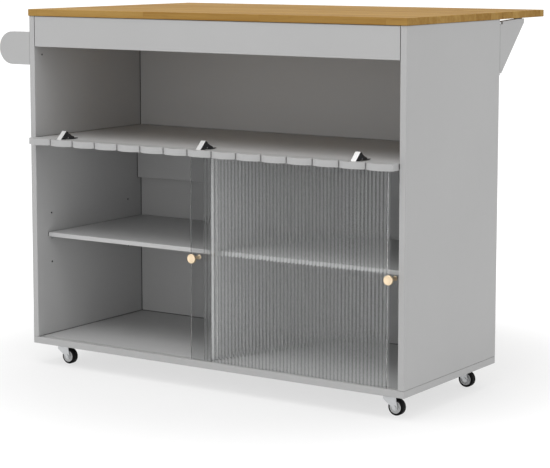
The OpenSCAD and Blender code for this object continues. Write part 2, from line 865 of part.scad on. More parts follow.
// Flanged cups pressed into the lip
module lip_hinge_cups() {
  color(steel) at_origin() {
    for (x = lip_hinges) {
      translate([x, -cup_y, shelf_z - cup_depth]) difference() {
        union() {
          cylinder(r = cup_r, h = cup_depth);
          translate([0, 0, cup_depth]) cylinder(r = cup_r + cup_flange, h = cup_flange_t);
        }
        translate([0, 0, cup_wall]) cylinder(r = cup_r - cup_wall, h = cup_depth);
      }
    }
  }
}

// Moving arms of the lip hinges: two cheeks on the cup's floor joined by the slanted plate
module lip_hinge_arms() {
  floor_rel = cup_wall - cup_depth - lip_axis_z;
  cup_rel = lip_axis_y - cup_y;
  cup_half = sqrt(pow(cup_r - cup_wall, 2) - pow(cheek_out, 2)) - 1;
  color(steel) at_origin() {
    for (x = lip_hinges) {
      translate([x, axis_y, axis_z]) difference() {
        union() {
          for (s = [-1, 1]) {
            slab_x(s * (cheek_in + cheek_t / 2), cheek_t, [
              plate_foot,
              plate_apex,
              [1, 13.5],
              [2, 11.5],
              [2, 6],
              [3, 3],
              [3, -1.5],
              [1.6, -2.9],
              [-2.4, -2.9],
              [cup_rel + cup_half, -2.9],
              [cup_rel + cup_half, floor_rel],
              [cup_rel - cup_half, floor_rel],
              [cup_rel - cup_half, flange_top]
            ]);
          }
          slab_x(0, 2 * cheek_out, [
            plate_foot,
            plate_apex,
            plate_apex + plate_in,
            [plate_foot[0] + cheek_t / plate_dir[1], flange_top]
          ]);
        }
        rod_x(-cheek_out - eps, 0, 0, lip_pin_r + run_fit, 2 * cheek_out + 2 * eps);
      }
    }
  }
}

// Fixed parts of the lip hinges: the base plate on the shelf and the arm that carries the pin
module lip_hinge_bases() {
  plate_rel = base_plate_t - lip_axis_z;
  color(dark_steel) at_origin() difference() {
    for (x = lip_hinges) {
      translate([x - cheek_out, 8 - lip_axis_y, shelf_z])
        cube([2 * cheek_out, base_plate_y + lip_axis_y - 8, base_plate_t]);
      translate([x, axis_y, axis_z]) {
        rod_x(-arm_w / 2, 0, 0, lip_eye_r, arm_w);
        slab_x(0, arm_w, [
          [-3, 1.5],
          [-1, 9],
          [2, 11],
          [9, 8.5],
          [14.5, 4.8],
          [26, 0.5],
          [26, plate_rel - 0.1],
          [8.5, plate_rel - 0.1],
          [1, -3.2]
        ]);
      }
    }
    for (x = lip_hinges) {
      rod_x(x - arm_w / 2 - eps, axis_y, axis_z, lip_pin_r, arm_w + 2 * eps);
    }
    base_plate_spots() small_screw(screw_fit);
  }
}

module lip_hinge_pins() {
  color(steel) at_origin() {
    for (x = lip_hinges) {
      rod_x(x - cheek_out - 0.2, axis_y, axis_z, lip_pin_r, 2 * cheek_out + 0.4);
    }
  }
}

// All the small countersunk screws that hold fixed hinge parts to the body
module hinge_screws() {
  color(steel) at_origin() {
    base_plate_spots() small_screw_made();
    strip_spots() small_screw_made();
    wall_plate_spots() small_screw_made();
  }
}

// Rounded end plate of the towel rack, from y to y + rack_t, with the rail's socket on the side of dir
module rack_plate(y, dir) {
  difference() {
    union() {
      translate([rail_x, y, rack_z - rack_r]) cube([-rail_x, rack_t, 2 * rack_r]);
      rod_y(rail_x, y, rack_z, rack_r, rack_t);
    }
    rod_y(rail_x, dir > 0 ? y + rack_t - rail_in : y - eps, rack_z, rail_r, rail_in + eps);
  }
}

module rack_front_plate() {
  color(body_grey) at_origin() rack_plate(0, 1);
}

module rack_rear_plate() {
  color(body_grey) at_origin() rack_plate(body_d - rack_t, -1);
}

module towel_rail() {
  color(steel) at_origin()
    rod_y(rail_x, rack_t - rail_in, rack_z, rail_r, body_d - 2 * rack_t + 2 * rail_in);
}

// Mounting plate, upper race and swivel pin of each caster
module caster_plates() {
  edge = plate_w / 2;
  inner = edge - plate_r;
  color(steel) at_origin() difference() {
    caster_spots() {
      translate([0, 0, caster_h - plate_t]) {
        translate([-edge, -inner, 0]) cube([plate_w, 2 * inner, plate_t]);
        translate([-inner, -edge, 0]) cube([2 * inner, plate_w, plate_t]);
        for (sx = [-1, 1]) {
          for (sy = [-1, 1]) {
            translate([sx * inner, sy * inner, 0]) cylinder(r = plate_r, h = plate_t);
          }
        }
      }
      translate([0, 0, race_z]) cylinder(r1 = race_r - 1.5, r2 = race_r, h = race_h);
      translate([0, 0, king_head_z]) cylinder(r = king_r, h = race_z - king_head_z + eps);
      translate([0, 0, king_head_z]) cylinder(r1 = king_head_r - 1, r2 = king_head_r, h = king_head_h);
    }
    plate_screw_spots() translate([0, 0, caster_h - plate_t - eps])
      cylinder(r = cs_r + screw_fit, h = plate_t + 2 * eps);
  }
}

module caster_screws() {
  color(steel) at_origin() plate_screw_spots() {
    translate([0, 0, caster_h - plate_t - cs_head_h]) {
      cylinder(r1 = cs_head_r - 0.8, r2 = cs_head_r, h = cs_head_h);
      cylinder(r = cs_r, h = cs_head_h + plate_t + cs_in - eps);
    }
  }
}

// Swivel fork: crown on the pin, two legs that trail back to the axle
module fork(x, y) {
  color(steel) at_origin() translate([x, y, 0]) difference() {
    union() {
      translate([0, 0, crown_z]) cylinder(r1 = crown_r, r2 = crown_r - 1.5, h = crown_h);
      for (yy = [-leg_out, leg_in]) {
        slab_y(yy, leg_t, [
          [1 - crown_r, crown_z + 1],
          [crown_r - 2, crown_z + 1],
          [trail + leg_end_r, wheel_r + 4],
          [trail + leg_end_r, wheel_r],
          [trail - leg_end_r, wheel_r],
          [-10, crown_z - 12],
          [1 - crown_r, crown_z - 7]
        ]);
        rod_y(trail, yy, wheel_r, leg_end_r, leg_t);
      }
    }
    translate([0, 0, crown_z - eps]) cylinder(r = king_r + run_fit, h = crown_h + 2 * eps);
    rod_y(trail, -leg_out - eps, wheel_r, axle_r + run_fit, 2 * leg_out + 2 * eps);
  }
}

module axle(x, y) {
  color(dark_steel) at_origin() translate([x + trail, y, wheel_r]) {
    rod_y(0, -leg_out - 0.5, 0, axle_r, 2 * leg_out + 1);
    rod_y(0, -leg_out - 2, 0, axle_r + 2, 2);
    rod_y(0, leg_out, 0, axle_r + 2, 2);
  }
}

module tyre(x, y) {
  w = wheel_w / 2;
  color(black) at_origin() translate([x + trail, y, wheel_r]) rotate([90, 0, 0]) rotate_extrude()
    polygon([[hub_r, -w], [wheel_r - 1.8, -w], [wheel_r - 0.5, 1.6 - w], [wheel_r, 3.6 - w],
      [wheel_r, w - 3.6], [wheel_r - 0.5, w - 1.6], [wheel_r - 1.8, w], [hub_r, w]]);
}

module hub(x, y) {
  w = wheel_w / 2;
  color(hub_grey) at_origin() translate([x + trail, y, wheel_r]) rotate([90, 0, 0]) rotate_extrude()
    polygon([[axle_r + run_fit, -w - 0.5], [axle_r + 3.4, -w - 0.5], [axle_r + 3.4, 4 - w],
      [hub_r - 2.5, 4 - w], [hub_r - 2.5, -w], [hub_r, -w], [hub_r, w], [hub_r - 2.5, w],
      [hub_r - 2.5, w - 4], [axle_r + 3.4, w - 4], [axle_r + 3.4, w + 0.5], [axle_r + run_fit, w + 0.5]]);
}

module fork_fl() { fork(caster_xs[0], caster_ys[0]); }
module fork_fr() { fork(caster_xs[1], caster_ys[0]); }
module fork_bl() { fork(caster_xs[0], caster_ys[1]); }
module fork_br() { fork(caster_xs[1], caster_ys[1]); }
module axle_fl() { axle(caster_xs[0], caster_ys[0]); }
module axle_fr() { axle(caster_xs[1], caster_ys[0]); }
module axle_bl() { axle(caster_xs[0], caster_ys[1]); }
module axle_br() { axle(caster_xs[1], caster_ys[1]); }
module tyre_fl() { tyre(caster_xs[0], caster_ys[0]); }
module tyre_fr() { tyre(caster_xs[1], caster_ys[0]); }
module tyre_bl() { tyre(caster_xs[0], caster_ys[1]); }
module tyre_br() { tyre(caster_xs[1], caster_ys[1]); }
module hub_fl() { hub(caster_xs[0], caster_ys[0]); }
module hub_fr() { hub(caster_xs[1], caster_ys[0]); }
module hub_bl() { hub(caster_xs[0], caster_ys[1]); }
module hub_br() { hub(caster_xs[1], caster_ys[1]); }

base_board();
left_side_panel();
right_side_panel();
back_panel();
middle_shelf();
centre_divider();
front_fascia();
rear_top_rail();
back_rails();
adjustable_shelf_left();
adjustable_shelf_right();
shelf_pins();
worktop();
drop_leaf();
leaf_hinge_plates();
leaf_hinge_flaps();
leaf_hinge_pins();
leaf_screws();
left_leaf_bracket();
right_leaf_bracket();
left_bracket_pivot();
right_bracket_pivot();
left_bracket_pad();
right_bracket_pad();
upper_door_track();
lower_door_track();
left_glass_door();
right_glass_door();
left_knob();
right_knob();
left_knob_screw();
right_knob_screw();
fluted_lip();
lip_hinge_cups();
lip_hinge_arms();
lip_hinge_bases();
lip_hinge_pins();
hinge_screws();
rack_front_plate();
rack_rear_plate();
towel_rail();
caster_plates();
caster_screws();
fork_fl();
fork_fr();
fork_bl();
fork_br();
axle_fl();
axle_fr();
axle_bl();
axle_br();
tyre_fl();
tyre_fr();
tyre_bl();
tyre_br();
hub_fl();
hub_fr();
hub_bl();
hub_br();
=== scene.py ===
# %% [markdown]
# # A drop leaf kitchen island
# The island is a painted board body on four casters, with an oak worktop, ribbed-glass sliding doors
# and small metal fittings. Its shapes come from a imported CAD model. This lesson eases their edges,
# models the pieces that need smoother forms, and gives every surface its finish.

# %% Load the frame
import json
import math

import bmesh
import bpy
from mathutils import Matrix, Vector

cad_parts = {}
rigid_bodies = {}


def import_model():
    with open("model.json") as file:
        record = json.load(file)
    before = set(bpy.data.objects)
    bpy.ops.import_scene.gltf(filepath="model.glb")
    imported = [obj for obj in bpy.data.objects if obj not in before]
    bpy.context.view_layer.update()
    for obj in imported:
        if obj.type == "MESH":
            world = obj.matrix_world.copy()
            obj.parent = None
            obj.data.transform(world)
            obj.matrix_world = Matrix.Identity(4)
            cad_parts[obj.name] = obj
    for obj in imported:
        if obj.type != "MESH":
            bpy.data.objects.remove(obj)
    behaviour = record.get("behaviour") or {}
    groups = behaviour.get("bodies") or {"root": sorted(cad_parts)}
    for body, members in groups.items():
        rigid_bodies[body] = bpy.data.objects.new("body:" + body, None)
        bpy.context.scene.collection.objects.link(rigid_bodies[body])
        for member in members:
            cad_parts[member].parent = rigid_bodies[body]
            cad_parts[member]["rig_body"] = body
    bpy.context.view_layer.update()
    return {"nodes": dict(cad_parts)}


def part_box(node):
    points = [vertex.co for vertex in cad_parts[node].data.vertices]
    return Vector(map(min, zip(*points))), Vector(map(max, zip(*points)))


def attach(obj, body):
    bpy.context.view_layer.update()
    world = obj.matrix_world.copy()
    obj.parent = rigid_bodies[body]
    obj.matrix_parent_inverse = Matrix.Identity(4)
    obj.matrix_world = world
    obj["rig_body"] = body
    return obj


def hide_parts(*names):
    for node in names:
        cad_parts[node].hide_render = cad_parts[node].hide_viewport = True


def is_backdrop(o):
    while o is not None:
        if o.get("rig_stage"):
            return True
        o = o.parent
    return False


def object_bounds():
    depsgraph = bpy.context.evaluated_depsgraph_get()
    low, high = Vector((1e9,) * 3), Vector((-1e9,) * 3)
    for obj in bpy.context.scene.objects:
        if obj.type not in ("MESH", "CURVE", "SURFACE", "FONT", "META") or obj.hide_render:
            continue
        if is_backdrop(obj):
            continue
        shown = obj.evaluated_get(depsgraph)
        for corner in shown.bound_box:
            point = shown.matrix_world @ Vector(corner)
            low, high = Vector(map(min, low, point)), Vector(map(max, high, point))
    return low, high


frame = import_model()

nodes = frame["nodes"]

# %% [markdown]
# ## Selecting by hand, in code
# Blender's operators work on whatever is selected, and a freshly loaded model is selected all over. So
# each step first clears the selection, then names the one object, or picks vertices by their place.

# %% Selection helpers
def pick_only(piece):
    """Makes piece the only selected object and the active one."""
    bpy.ops.object.select_all(action="DESELECT")
    piece.select_set(True)
    bpy.context.view_layer.objects.active = piece


def select_verts(piece, wanted):
    """In edit mode, selects the vertices whose place passes the wanted test, and returns how many."""
    bpy.ops.mesh.select_all(action="DESELECT")
    bpy.ops.mesh.select_mode(type="VERT")
    bpy.ops.object.mode_set(mode="OBJECT")
    count = 0
    for vert in piece.data.vertices:
        vert.select = wanted(vert.co)
        count += vert.select
    bpy.ops.object.mode_set(mode="EDIT")
    return count


pick_only(nodes["worktop"])
print("selected", [piece.name for piece in bpy.context.selected_objects])

# %% [markdown]
# ## Making changes last
# A modifier is only a recipe until it is applied, and an object can stand turned beside its own mesh.
# Every finished piece here sits at the origin with all its shape in its mesh, as the CAD's pieces do.
# Two helpers see to that. A third gives the radius of an arch from its width and its height, which the
# lip's flutes and the panes' ribs both need.

# %% Shape helpers
def apply_modifier(piece, kind, **settings):
    """Adds a modifier with its settings and applies it at once."""
    pick_only(piece)
    modifier = piece.modifiers.new(kind.title(), kind)
    for name, value in settings.items():
        setattr(modifier, name, value)
    bpy.ops.object.modifier_apply(modifier=modifier.name)


def settle(piece):
    """Moves the object's place and turn into its mesh, so that the object sits at the origin."""
    pick_only(piece)
    bpy.ops.object.transform_apply(location=True, rotation=True, scale=True)
    return piece


def arch_radius(width, height):
    return ((width / 2) ** 2 + height**2) / (2 * height)


print("an arch 70 mm wide and 8 mm high has a radius of", round(arch_radius(0.070, 0.008), 4))

# %% [markdown]
# ## Shader arithmetic
# A finish is easier to read as a formula than as a picture of boxes and wires. A Wire stands for one
# socket that carries numbers, and Python's own operators add the Math nodes, so that 1 - wire works too.

# %% Wires
class Wire:
    """A shader socket that can be added, scaled and compared like a number."""

    def __init__(self, shading, socket):
        self.shading, self.socket = shading, socket

    def math(self, operation, *values):
        return self.shading.node("ShaderNodeMath", {"operation": operation}, dict(enumerate(values)))

    def __add__(self, other):
        return self.math("ADD", self, other)

    def __sub__(self, other):
        return self.math("SUBTRACT", self, other)

    def __rsub__(self, other):
        return self.math("SUBTRACT", other, self)

    def __mul__(self, other):
        return self.math("MULTIPLY", self, other)

    def __truediv__(self, other):
        return self.math("DIVIDE", self, other)

    __radd__ = __add__
    __rmul__ = __mul__

    def floor(self):
        return self.math("FLOOR", self)

    def fract(self):
        return self.math("FRACT", self)

    def size(self):
        return self.math("ABSOLUTE", self)

    def above(self, limit, soft):
        """0 below limit, 1 above it, with a slope soft wide."""
        return self.math("MULTIPLY_ADD", self, 1 / soft, -limit / soft).kept()

    def kept(self):
        """The value held between 0 and 1."""
        return self.math("MINIMUM", self.math("MAXIMUM", self, 0.0), 1.0)


# %% [markdown]
# ## Finishes
# A Shading is the node tree of a material or of the world. Its node method makes any node from its type,
# its settings and what its sockets get. A Finish is one material, with words for what the pieces here
# need: the place on the piece, noise, a mix of two colours, and bumps. Its plain values are set on the
# shader itself, and only what changes over the surface comes through a wire.

# %% Shadings and finishes
class Shading:
    """The node tree of a material or of the world."""

    def __init__(self, owner):
        owner.use_nodes = True
        self.tree = owner.node_tree

    def node(self, kind, settings=None, values=None, output=0):
        """Makes a node: its settings first, then a value or a Wire for each named socket."""
        made = self.tree.nodes.new(kind)
        for name, value in (settings or {}).items():
            setattr(made, name, value)
        for name, value in (values or {}).items():
            if isinstance(value, Wire):
                self.tree.links.new(value.socket, made.inputs[name])
            else:
                made.inputs[name].default_value = value
        return Wire(self, made.outputs[output])

    def blend(self, factor, first, second):
        """A shader between two shaders."""
        return self.node("ShaderNodeMixShader", None, {0: factor, 1: first, 2: second})

    def show(self, shader, output="Material Output"):
        """Makes shader the one that is seen."""
        self.tree.links.new(shader.socket, self.tree.nodes[output].inputs["Surface"])


class Finish(Shading):
    """One material around a Principled shader."""

    def __init__(self, name, colour, roughness, **plain):
        self.material = bpy.data.materials.new(name)
        self.material.diffuse_color = (*colour, 1.0)
        super().__init__(self.material)
        self.shader = self.tree.nodes["Principled BSDF"]
        self.shader.inputs["Base Color"].default_value = (*colour, 1.0)
        self.shader.inputs["Roughness"].default_value = roughness
        for socket, value in plain.items():
            self.shader.inputs[socket.replace("_", " ")].default_value = value

    def spot(self):
        """The place on the piece in metres, which goes along when the piece moves."""
        return self.node("ShaderNodeTexCoord", output="Object")

    def stretched(self, scale, spot=None):
        """The place with each axis scaled."""
        return self.node("ShaderNodeMapping", None, {"Vector": spot or self.spot(), "Scale": scale})

    def noise(self, scale, detail, where=None):
        """Even grey noise about 1 / scale metres across."""
        values = {"Vector": where or self.stretched((1, 1, 1)), "Scale": scale, "Detail": detail}
        return self.node("ShaderNodeTexNoise", None, values)

    def mix(self, factor, first, second):
        """A colour between two colours, each a Wire or three numbers."""
        first, second = [c if isinstance(c, Wire) else (*c, 1.0) for c in (first, second)]
        values = {0: factor, 6: first, 7: second}
        return self.node("ShaderNodeMix", {"data_type": "RGBA"}, values, output=2)

    def feed(self, socket, wire):
        self.tree.links.new(wire.socket, self.shader.inputs[socket])

    def bump(self, height, distance, strength):
        values = {"Height": height, "Distance": distance, "Strength": strength}
        self.feed("Normal", self.node("ShaderNodeBump", None, values))


def grey(level):
    return (level, level, level)


def shade(colour, share):
    """The colour, share times as bright."""
    return [c * share for c in colour]


# %% [markdown]
# ## Painted board
# The body is particle board under a thin satin grey skin. Such a skin is very even, so its tone drifts
# only a little over a hand's width, and a faint orange-peel bump breaks up its highlights. The boards
# inside are the same stuff, and get their own finish so that their tone can be set apart: it is painted
# lighter, as painted light, with stronger painted shade in the joints. Where two boards meet, shade is
# painted into the skin: an ambient occlusion node turns it dark within 3 mm of another board.

# %% Painted board finishes
SKIN_GLOSS = 0.3
SKIN_ROUGHNESS = 0.42
DRIFT = 3.5
DARKER, LIGHTER = 0.965, 1.03
SHADE_REACH = 0.003
SHADE_GAIN = 1.7
PEEL = 900.0
PEEL_HEIGHT = 0.00012


def painted_board(name, colour, joint_shade_tone):
    """A satin skin with painted shade in its joints, where the colour falls to the given share of its
    brightness.
    """
    finish = Finish(name, colour, SKIN_ROUGHNESS, Specular_IOR_Level=SKIN_GLOSS)
    skin = finish.mix(finish.noise(DRIFT, 2.0), shade(colour, DARKER), shade(colour, LIGHTER))
    # Painted shade: an ambient occlusion node darkens the colour within reach of other boards.
    near = {"samples": 6}
    open_air = finish.node("ShaderNodeAmbientOcclusion", near, {"Distance": SHADE_REACH}, output="AO")
    joint_shade_mask = ((1 - open_air) * SHADE_GAIN).kept()
    finish.feed("Base Color", finish.mix(joint_shade_mask, skin, shade(colour, joint_shade_tone)))
    finish.feed("Roughness", 0.36 + 0.14 * finish.noise(45.0, 3.0))
    finish.bump(finish.noise(PEEL, 2.0), PEEL_HEIGHT, 0.35)
    return finish.material


body_paint = painted_board("grey_paint", grey(0.412), 0.45)
# Painted light: the inner boards get a lighter copy of the same grey paint, with stronger painted shade
# in the joints.
inner_lit_paint = painted_board("inner_grey_lit_paint", grey(0.485), 0.10)
# Painted shade: bare board in holes and on hidden ends is near black, standing for the shade in them.
shaded_bare_board = painted_board("shaded_bare_board", (0.045, 0.040, 0.035), 0.5)
print("board finishes", [material.name for material in (body_paint, inner_lit_paint, shaded_bare_board)])

# %% [markdown]
# ## Oak strips
# The worktop is glued up from narrow oak strips, each made of shorter staves. Every stave comes from
# another plank, so it has its own tone. The pattern reads the place on the piece in metres: across the
# strips the place is cut into rows, along them into staves, and a random number for each stave picks
# its tone. The same cuts also say where the glued seams are.

# %% Staves
STRIP_WIDTH = 0.038
STAVE_LENGTH = 0.34
STRIP_SEAM = (0.486, 0.010)
STAVE_SEAM = (0.4985, 0.0008)


def chance(finish, seed):
    """A random number from 0 to 1 that is the same wherever seed is."""
    return finish.node("ShaderNodeTexWhiteNoise", {"noise_dimensions": "1D"}, {"W": seed})


def oak_staves(finish, spot):
    """The random tone of the stave at spot, and a mask that is 1 in the seams round it."""
    x, y = [finish.node("ShaderNodeSeparateXYZ", None, {"Vector": spot}, axis) for axis in (0, 1)]
    across = y / STRIP_WIDTH
    row = across.floor()
    along = x / STAVE_LENGTH + 3.0 * chance(finish, row)
    tone = chance(finish, row * 17.3 + along.floor() * 5.7)
    sides = (across.fract() - 0.5).size().above(*STRIP_SEAM)
    ends = (along.fract() - 0.5).size().above(*STAVE_SEAM)
    return tone, (sides + ends).kept()


# %% [markdown]
# ## Grain
# Grain runs along a stave as long fine streaks, with broader clouds and short dark pores in them. Each
# is the same noise, stretched much further along the strip than across it. The stave's random number
# moves the noise, so that the grain breaks off at a seam as it does between two planks.

# %% Oak finish
STREAKS = (2.2, 95.0, 95.0)
CLOUDS = (1.1, 16.0, 16.0)
PORES = (26.0, 900.0, 900.0)
LIGHT_OAK = [(0.350, 0.208, 0.060), (0.420, 0.268, 0.088)]
DARK_OAK = [(0.235, 0.120, 0.027), (0.305, 0.168, 0.043)]
PORE_BROWN = (0.15, 0.075, 0.03)
SEAM_BROWN = (0.17, 0.09, 0.035)
GRAIN_DEPTH = 0.00025


def oak_grain(finish, spot, tone):
    """Streaks, clouds and pores, laid differently on each stave."""
    jump = finish.node("ShaderNodeCombineXYZ", None, {"X": tone * 9.0, "Y": tone * 3.0, "Z": tone * 5.0})
    moved = finish.node("ShaderNodeVectorMath", {"operation": "ADD"}, {0: spot, 1: jump})
    streak = finish.noise(1.0, 6.0, finish.stretched(STREAKS, moved))
    cloud = finish.noise(1.0, 3.0, finish.stretched(CLOUDS, moved))
    pore = finish.noise(1.0, 2.0, finish.stretched(PORES, moved)).above(0.62, 0.08)
    return streak, cloud, pore


def oak_strips(name):
    finish = Finish(name, (0.33, 0.21, 0.09), 0.55, Specular_IOR_Level=0.02)
    spot = finish.spot()
    tone, seam = oak_staves(finish, spot)
    streak, cloud, pore = oak_grain(finish, spot, tone)
    depth = (streak * 1.5 + cloud * 0.9 - 0.8).kept()
    wood = finish.mix(depth, finish.mix(tone, *LIGHT_OAK), finish.mix(tone, *DARK_OAK))
    wood = finish.mix(pore * 0.35, wood, PORE_BROWN)
    finish.feed("Base Color", finish.mix(seam * 0.4, wood, SEAM_BROWN))
    finish.feed("Roughness", 0.48 + 0.16 * streak + 0.10 * seam)
    finish.bump(streak * 0.35 - pore * 0.3 - seam, GRAIN_DEPTH, 0.5)
    return finish.material


oak = oak_strips("oak_strips")
print("oak nodes", len(oak.node_tree.nodes))

# %% [markdown]
# ## Metals
# Five metals are small in the picture but catch the eye: warm satin brass on the knobs, bright nickel
# and a darker steel on the lip's hinges, pale zinc on the casters and hidden fittings, and brushed steel
# on the towel rail. The darker steel also stands as painted shade on the hinge arms' faces turned from
# the light. Real plated metal is never even: polishing marks change its roughness, and zinc has
# faint crystals.

# %% Metal finishes
SCRATCHES = (400.0, 400.0, 60.0)
SCRATCH_DEPTH = 0.00003
PATCHES = 160.0
DULL = 0.86
CRYSTALS = 420.0


def plated(name, colour, roughness, spread, crystals=0.0):
    """A metal whose roughness varies by spread; crystals is how far zinc's cells show in it."""
    finish = Finish(name, colour, roughness, Metallic=1.0)
    scratches = finish.noise(1.0, 4.0, finish.stretched(SCRATCHES))
    finish.feed("Roughness", (roughness - spread / 2) + spread * scratches)
    patches = finish.noise(PATCHES, 2.0)
    if crystals:
        cells = {"Vector": finish.stretched((1, 1, 1)), "Scale": CRYSTALS}
        shape = finish.node("ShaderNodeTexVoronoi", None, cells, output="Color")
        cell = finish.node("ShaderNodeRGBToBW", None, {0: shape})
        patches = patches * (1 - crystals) + cell * crystals
    finish.feed("Base Color", finish.mix(patches, shade(colour, DULL), colour))
    finish.bump(scratches, SCRATCH_DEPTH, 0.3)
    return finish.material


brass = plated("satin_brass", (0.90, 0.72, 0.50), 0.34, 0.12)
nickel = plated("bright_nickel", (0.74, 0.74, 0.735), 0.42, 0.10)
dark_steel = plated("dark_steel", (0.085, 0.085, 0.09), 0.40, 0.14)
zinc = plated("pale_zinc", (0.62, 0.63, 0.64), 0.40, 0.14, 0.5)
rail_steel = plated("brushed_rail", (0.66, 0.67, 0.68), 0.28, 0.12)
print("metals", [material.name for material in (brass, nickel, dark_steel, zinc, rail_steel)])

# %% [markdown]
# ## Plastics and rubber
# The tyres are black rubber that has picked up a little dust, so they are rough and not quite evenly
# black. Hubs, door channels and the brackets' pads are moulded, with a fine texture.

# %% Plastic and rubber finishes
DUST = 70.0
DUSTLESS, DUSTY = 0.85, 1.2
MOULD_DEPTH = 0.0001


def moulded(name, colour, roughness, grain, gloss=0.5):
    """A moulded surface; grain is the fineness of its texture."""
    finish = Finish(name, colour, roughness, Specular_IOR_Level=gloss)
    dust = finish.noise(DUST, 4.0)
    finish.feed("Base Color", finish.mix(dust, shade(colour, DUSTLESS), shade(colour, DUSTY)))
    finish.feed("Roughness", (roughness - 0.08) + 0.16 * dust)
    finish.bump(finish.noise(grain, 2.0), MOULD_DEPTH, 0.4)
    return finish.material


rubber = moulded("black_rubber", (0.006, 0.006, 0.0065), 0.70, 1500.0, 0.12)
hub_plastic = moulded("grey_hub_plastic", (0.55, 0.555, 0.56), 0.48, 1800.0)
channel_plastic = moulded("grey_channel_plastic", (0.44, 0.44, 0.435), 0.45, 1800.0)
pad_rubber = moulded("soft_pad", (0.035, 0.035, 0.037), 0.75, 1400.0)
print("moulded", [material.name for material in (rubber, hub_plastic, channel_plastic, pad_rubber)])

# %% [markdown]
# ## Ribbed glass
# Each rib is a thin lens, so the glass squeezes the view behind it into upright stripes. The ribs are
# real geometry and the glass really bends light. On top of that a rib has a faint haze on its crest, and
# its groove is tinted darker as painted shade; both follow the ribs' own spacing. The band behind the
# knob is plain and clear.
# Light on its way to a wall would be lost in the bending, so for rays that carry light or shadow the
# glass is mixed with a plain see-through shader.

# %% Glass finish
PLAIN_TINT = (0.74, 0.745, 0.745)
RIBBED_TINT = (0.93, 0.935, 0.935)
GROOVE_SHADE = (0.62, 0.63, 0.63)
HAZE = (0.50, 0.505, 0.505, 1.0)
HAZE_SHARE = 0.085
BAND_EDGE = 0.0005
CLEAR = {"Transmission_Weight": 1.0, "IOR": 1.5, "Specular_Tint": (0.08, 0.08, 0.08, 1.0)}


def ribbed_glass(name, edge, pitch, ribs):
    """Glass whose ribs start at edge; ribs holds the first and the last place that has them."""
    finish = Finish(name, PLAIN_TINT, 0.0, **CLEAR)
    x = finish.node("ShaderNodeSeparateXYZ", None, {"Vector": finish.spot()})
    wave = ((x / pitch - edge / pitch).fract() - 0.5).size() * 2.0
    ribbed = x.above(ribs[0], BAND_EDGE) * (1 - x.above(ribs[1], BAND_EDGE))
    # Painted shade: the grooves are tinted darker.
    groove = wave.above(0.5, 0.4) * ribbed
    tint = finish.mix(ribbed, PLAIN_TINT, RIBBED_TINT)
    finish.feed("Base Color", finish.mix(groove, tint, GROOVE_SHADE))
    finish.feed("Roughness", ribbed * (0.03 + 0.02 * finish.noise(30.0, 3.0)))
    haze = finish.node("ShaderNodeBsdfDiffuse", None, {"Color": HAZE})
    crest = ribbed * (1 - wave)
    glass = finish.blend(HAZE_SHARE * crest, Wire(finish, finish.shader.outputs[0]), haze)
    rays = ("Is Shadow Ray", "Is Diffuse Ray")
    shadow, diffuse = [finish.node("ShaderNodeLightPath", output=kind) for kind in rays]
    passing = finish.node("ShaderNodeBsdfTransparent", None, {"Color": (1.0, 1.0, 1.0, 1.0)})
    finish.show(finish.blend((shadow + diffuse).kept(), glass, passing))
    return finish.material


# %% [markdown]
# ## Easing the CAD's edges
# A CAD board has knife-sharp edges, and a real one never does: its skin turns over a small radius, and
# where two boards meet, the two radii make the fine dark line that tells them apart. Each copy of a CAD
# piece is first merged, because it comes as loose triangles, and its flat triangles are joined into
# whole faces. Then only the long ridges are bevelled, so that the rims of screw holes stay small. At the
# end the shading is weighted by the faces' sizes, so that the large flat ones stay evenly lit.

# %% Ease one piece
WELD = 0.000002
FLAT = math.radians(0.5)
SHARP = math.radians(32)


def dress(piece, node, material):
    """Gives a piece its finish and its body, and lets it stand for its CAD node."""
    piece.data.materials.clear()
    piece.data.materials.append(material)
    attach(piece, nodes[node]["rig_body"])
    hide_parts(node)
    return piece


def select_ridges(piece, shortest):
    """In edit mode, selects the outward edges that are sharp and longer than shortest."""
    mesh = bmesh.from_edit_mesh(piece.data)
    for edge in mesh.edges:
        sharp = edge.is_manifold and edge.is_convex and edge.calc_face_angle() > SHARP
        edge.select_set(sharp and edge.calc_length() > shortest)
    bmesh.update_edit_mesh(piece.data)


def weigh_normals(piece):
    apply_modifier(piece, "WEIGHTED_NORMAL", keep_sharp=True, weight=100)


def eased(node, material, radius, shortest=0.0, gap=(0, 0, 0)):
    """Copies a CAD node in its place, with its ridges rounded, and gap metres short of its neighbours."""
    piece = bpy.data.objects.new(node + "_eased", nodes[node].data.copy())
    bpy.context.scene.collection.objects.link(piece)
    pick_only(piece)
    bpy.ops.object.mode_set(mode="EDIT")
    bpy.ops.mesh.select_mode(type="EDGE")
    bpy.ops.mesh.select_all(action="SELECT")
    bpy.ops.mesh.remove_doubles(threshold=WELD)
    bpy.ops.mesh.dissolve_limited(angle_limit=FLAT)
    low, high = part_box(node)
    shares = [1 - 2 * cut / max(side, 0.001) for cut, side in zip(gap, high - low)]
    bpy.ops.mesh.select_all(action="SELECT")
    bpy.ops.transform.resize(value=shares, center_override=(low + high) / 2)
    bpy.ops.mesh.select_all(action="DESELECT")
    select_ridges(piece, shortest)
    bpy.ops.mesh.bevel(offset=radius, segments=2, affect="EDGES", clamp_overlap=True)
    bpy.ops.object.mode_set(mode="OBJECT")
    bpy.ops.object.shade_smooth_by_angle(angle=SHARP)
    weigh_normals(piece)
    print(piece.name, len(piece.data.polygons), "faces")
    return dress(piece, node, material)


# %% [markdown]
# ## Loose boards
# The brackets under the leaf, the lip and the towel rack's plates stand free of the case, so they show
# the outer skin on all sides. Their edges turn over at a radius of 1 mm.

# %% Ease the loose boards
LOOSE_BOARDS = ["left_leaf_bracket", "right_leaf_bracket", "fluted_lip", "rack_front_plate",
                "rack_rear_plate"]
BOARD_EDGE, SHORTEST_RIDGE = 0.0010, 0.0013

